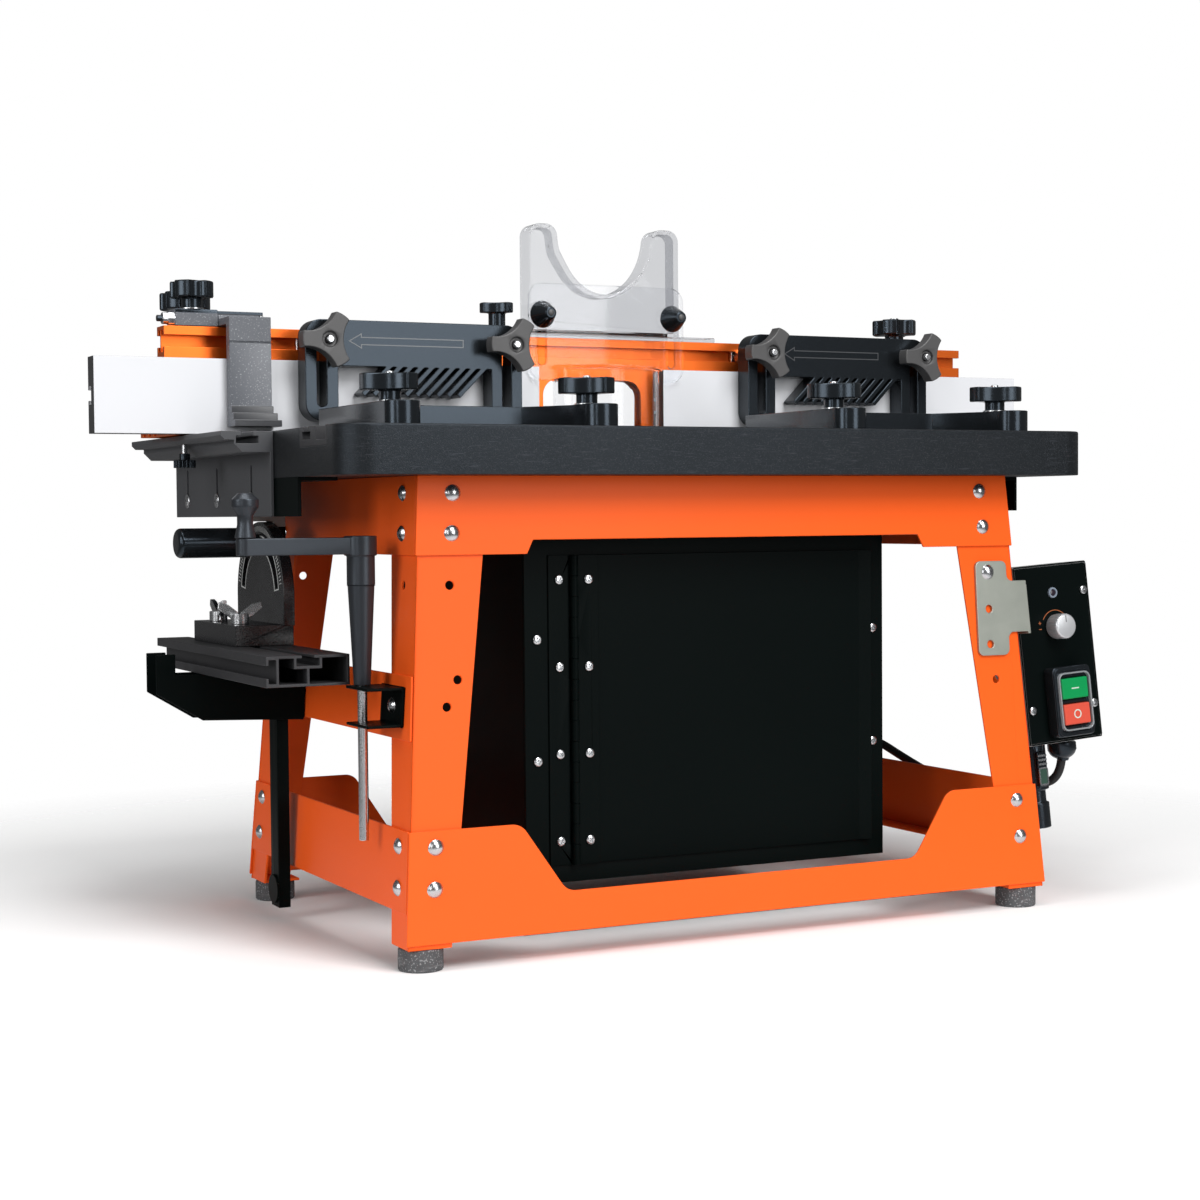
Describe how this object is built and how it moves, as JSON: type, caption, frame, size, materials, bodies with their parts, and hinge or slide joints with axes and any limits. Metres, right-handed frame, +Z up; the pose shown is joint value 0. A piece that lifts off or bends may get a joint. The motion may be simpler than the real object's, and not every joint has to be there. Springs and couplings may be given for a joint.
{
  "type": "benchtop router table",
  "caption": "Benchtop router table: splayed steel stand, thick top, motor cabinet with lift, sliding fence with clear guard, featherboards, flip stop, switch box, stored mitre gauge and crank.",
  "frame": {"origin": "on the bench plane under the middle of the stand", "axes": "+X to the right seen from the front, +Y to the back, +Z up"},
  "size_m": [0.852, 0.4, 0.556],
  "materials": {
    "orange_paint": "gloss powder coat",
    "top_black": "black laminated board, fine grain",
    "black_steel": "satin black powder coat",
    "orange_anodised": "satin orange anodised",
    "black_anodised": "satin black anodised",
    "foot_rubber": "matte moulded",
    "zinc_steel": "bright zinc plate",
    "galvanised": "dull zinc plate",
    "black_plastic": "fine moulded",
    "clear_guard": "clear polished sheet",
    "white_laminate": "white laminate with black edges",
    "plain_aluminium": "machined",
    "dark_steel": "black enamel",
    "green_plastic": "gloss moulded",
    "red_plastic": "gloss moulded",
    "cord_rubber": "matte cable sheath"
  },
  "bodies": {
    "stand": {"stand_legs": "orange_paint", "long_top_rails": "orange_paint", "side_top_rails": "orange_paint", "long_bottom_rails": "orange_paint", "side_bottom_rails": "orange_paint", "accessory_rail": "orange_paint", "rubber_feet": "foot_rubber", "stand_bolts": "zinc_steel", "table_top": "top_black", "table_track": "black_anodised", "throat_ring": "black_plastic", "cabinet_shell": "black_steel", "hinge_frame_leaf": "black_steel", "machine_screws": "zinc_steel", "lift_frame": "plain_aluminium", "control_box": "black_steel", "control_panel": "black_steel", "switch_body": "black_plastic", "box_bracket": "galvanised", "cable_gland": "black_plastic", "motor_lead": "cord_rubber", "inlet_coupling": "black_plastic", "accessory_brackets": "black_steel", "side_rails": "black_anodised"},
    "door": {"cabinet_door": "black_steel", "hinge_door_leaf": "black_steel", "door_screws": "zinc_steel"},
    "lift": {"lift_carriage": "plain_aluminium", "motor_housing": "plain_aluminium"},
    "lift_screw": {"lift_screw": "zinc_steel"},
    "spindle": {"motor_spindle": "zinc_steel"},
    "speed_knob": {"speed_knob": "plain_aluminium"},
    "start_button": {"start_button": "green_plastic"},
    "stop_button": {"stop_button": "red_plastic"},
    "fence": {"fence_beam": "orange_anodised", "fence_bolts": "zinc_steel", "guard_back": "clear_guard", "guard_knobs": "black_plastic"},
    "face_left": {"fence_face_left": "white_laminate"},
    "face_right": {"fence_face_right": "white_laminate"},
    "lock_left": {"fence_lock_left": "black_plastic"},
    "lock_right": {"fence_lock_right": "black_plastic"},
    "guard": {"guard_shield": "clear_guard"},
    "fence_clamps_left": {"fence_clamps_left": "black_plastic"},
    "fence_clamps_right": {"fence_clamps_right": "black_plastic"},
    "fence_board_left": {"fence_board_left": "black_plastic"},
    "fence_board_right": {"fence_board_right": "black_plastic"},
    "table_clamps_left": {"table_clamps_left": "black_plastic"},
    "table_clamps_right": {"table_clamps_right": "black_plastic"},
    "table_board_left": {"table_board_left": "black_plastic"},
    "table_board_right": {"table_board_right": "black_plastic"},
    "flip_stop": {"flip_stop_base": "black_anodised"},
    "flip_arm": {"flip_stop_arm": "black_anodised"},
    "flip_knob": {"flip_stop_knob": "black_plastic"},
    "mitre_gauge": {"mitre_head": "dark_steel", "mitre_fence": "black_anodised", "mitre_bar": "dark_steel"},
    "mitre_handle": {"mitre_handle": "black_plastic"},
    "crank": {"crank": "dark_steel"},
    "crank_knob": {"crank_knob": "dark_steel"}
  },
  "joints": [
    {"name": "door_hinge", "type": "hinge", "parent": "stand", "child": "door", "pos_m": [-0.118, -0.1246, 0.172], "axis": [0, 0, -1], "range_deg": [0, 105]},
    {"name": "lift_travel", "type": "slide", "parent": "stand", "child": "lift", "axis": [0, 0, 1], "range_m": [-0.045, 0.02]},
    {"name": "lift_screw_turn", "type": "hinge", "parent": "stand", "child": "lift_screw", "pos_m": [0, 0.005, 0.2], "axis": [0, 0, 1], "range_deg": [-4060, 1810]},
    {"name": "spindle_spin", "type": "hinge", "parent": "lift", "child": "spindle", "pos_m": [0, 0.066, 0.3], "axis": [0, 0, 1], "continuous": true},
    {"name": "speed_turn", "type": "hinge", "parent": "stand", "child": "speed_knob", "pos_m": [0.30867, -0.14753, 0.22198], "axis": [0, -0.9973, 0.0728], "range_deg": [-150, 150]},
    {"name": "start_press", "type": "slide", "parent": "stand", "child": "start_button", "axis": [0, 0.9973, -0.0728], "range_m": [0, 0.003], "stiffness_N_per_m": 300},
    {"name": "stop_press", "type": "slide", "parent": "stand", "child": "stop_button", "axis": [0, 0.9973, -0.0728], "range_m": [0, 0.003], "stiffness_N_per_m": 300},
    {"name": "fence_travel", "type": "slide", "parent": "stand", "child": "fence", "axis": [0, 1, 0], "range_m": [-0.005, 0.08]},
    {"name": "face_left_travel", "type": "slide", "parent": "fence", "child": "face_left", "axis": [1, 0, 0], "range_m": [-0.008, 0.038]},
    {"name": "face_right_travel", "type": "slide", "parent": "fence", "child": "face_right", "axis": [-1, 0, 0], "range_m": [-0.008, 0.038]},
    {"name": "lock_left_turn", "type": "hinge", "parent": "fence", "child": "lock_left", "pos_m": [-0.337, 0.124, 0.488], "axis": [0, 0, 1], "range_deg": [-360, 360]},
    {"name": "lock_right_turn", "type": "hinge", "parent": "fence", "child": "lock_right", "pos_m": [0.337, 0.124, 0.488], "axis": [0, 0, 1], "range_deg": [-360, 360]},
    {"name": "guard_lift", "type": "slide", "parent": "fence", "child": "guard", "axis": [0, 0, 1], "range_m": [0, 0.034]},
    {"name": "fence_clamps_left_travel", "type": "slide", "parent": "fence", "child": "fence_clamps_left", "axis": [1, 0, 0], "range_m": [-0.005, 0.005]},
    {"name": "fence_clamps_right_travel", "type": "slide", "parent": "fence", "child": "fence_clamps_right", "axis": [1, 0, 0], "range_m": [-0.03, 0.05]},
    {"name": "fence_board_left_travel", "type": "slide", "parent": "fence_clamps_left", "child": "fence_board_left", "axis": [0, 0, 1], "range_m": [0, 0.045]},
    {"name": "fence_board_right_travel", "type": "slide", "parent": "fence_clamps_right", "child": "fence_board_right", "axis": [0, 0, 1], "range_m": [0, 0.045]},
    {"name": "table_clamps_left_travel", "type": "slide", "parent": "stand", "child": "table_clamps_left", "axis": [1, 0, 0], "range_m": [-0.04, 0.04]},
    {"name": "table_clamps_right_travel", "type": "slide", "parent": "stand", "child": "table_clamps_right", "axis": [1, 0, 0], "range_m": [-0.04, 0.025]},
    {"name": "table_board_left_travel", "type": "slide", "parent": "table_clamps_left", "child": "table_board_left", "axis": [0, 1, 0], "range_m": [-0.025, 0]},
    {"name": "table_board_right_travel", "type": "slide", "parent": "table_clamps_right", "child": "table_board_right", "axis": [0, 1, 0], "range_m": [-0.025, 0]},
    {"name": "flip_stop_travel", "type": "slide", "parent": "fence", "child": "flip_stop", "axis": [1, 0, 0], "range_m": [-0.03, 0]},
    {"name": "flip_arm_swing", "type": "hinge", "parent": "flip_stop", "child": "flip_arm", "pos_m": [-0.307, 0.083, 0.47], "axis": [1, 0, 0], "range_deg": [-110, 0]},
    {"name": "flip_knob_turn", "type": "hinge", "parent": "flip_stop", "child": "flip_knob", "pos_m": [-0.3424, 0.086, 0.49], "axis": [0, 0, 1], "range_deg": [-360, 360]},
    {"name": "mitre_gauge_lift", "type": "slide", "parent": "stand", "child": "mitre_gauge", "axis": [0, 0, 1], "range_m": [0, 0.008]},
    {"name": "mitre_handle_turn", "type": "hinge", "parent": "mitre_gauge", "child": "mitre_handle", "pos_m": [-0.33, 0.071, 0.297], "axis": [-1, 0, 0], "range_deg": [-360, 360]},
    {"name": "crank_lift", "type": "slide", "parent": "stand", "child": "crank", "axis": [0, 0, 1], "range_m": [0, 0.038]},
    {"name": "crank_knob_spin", "type": "hinge", "parent": "crank", "child": "crank_knob", "pos_m": [-0.367, -0.12, 0.315], "axis": [0, 0, 1], "continuous": true}
  ],
  "couplings": [
    {"joint": "lift_screw_turn", "follows": "lift_travel", "rad_per_m": 1570.8}
  ]
}
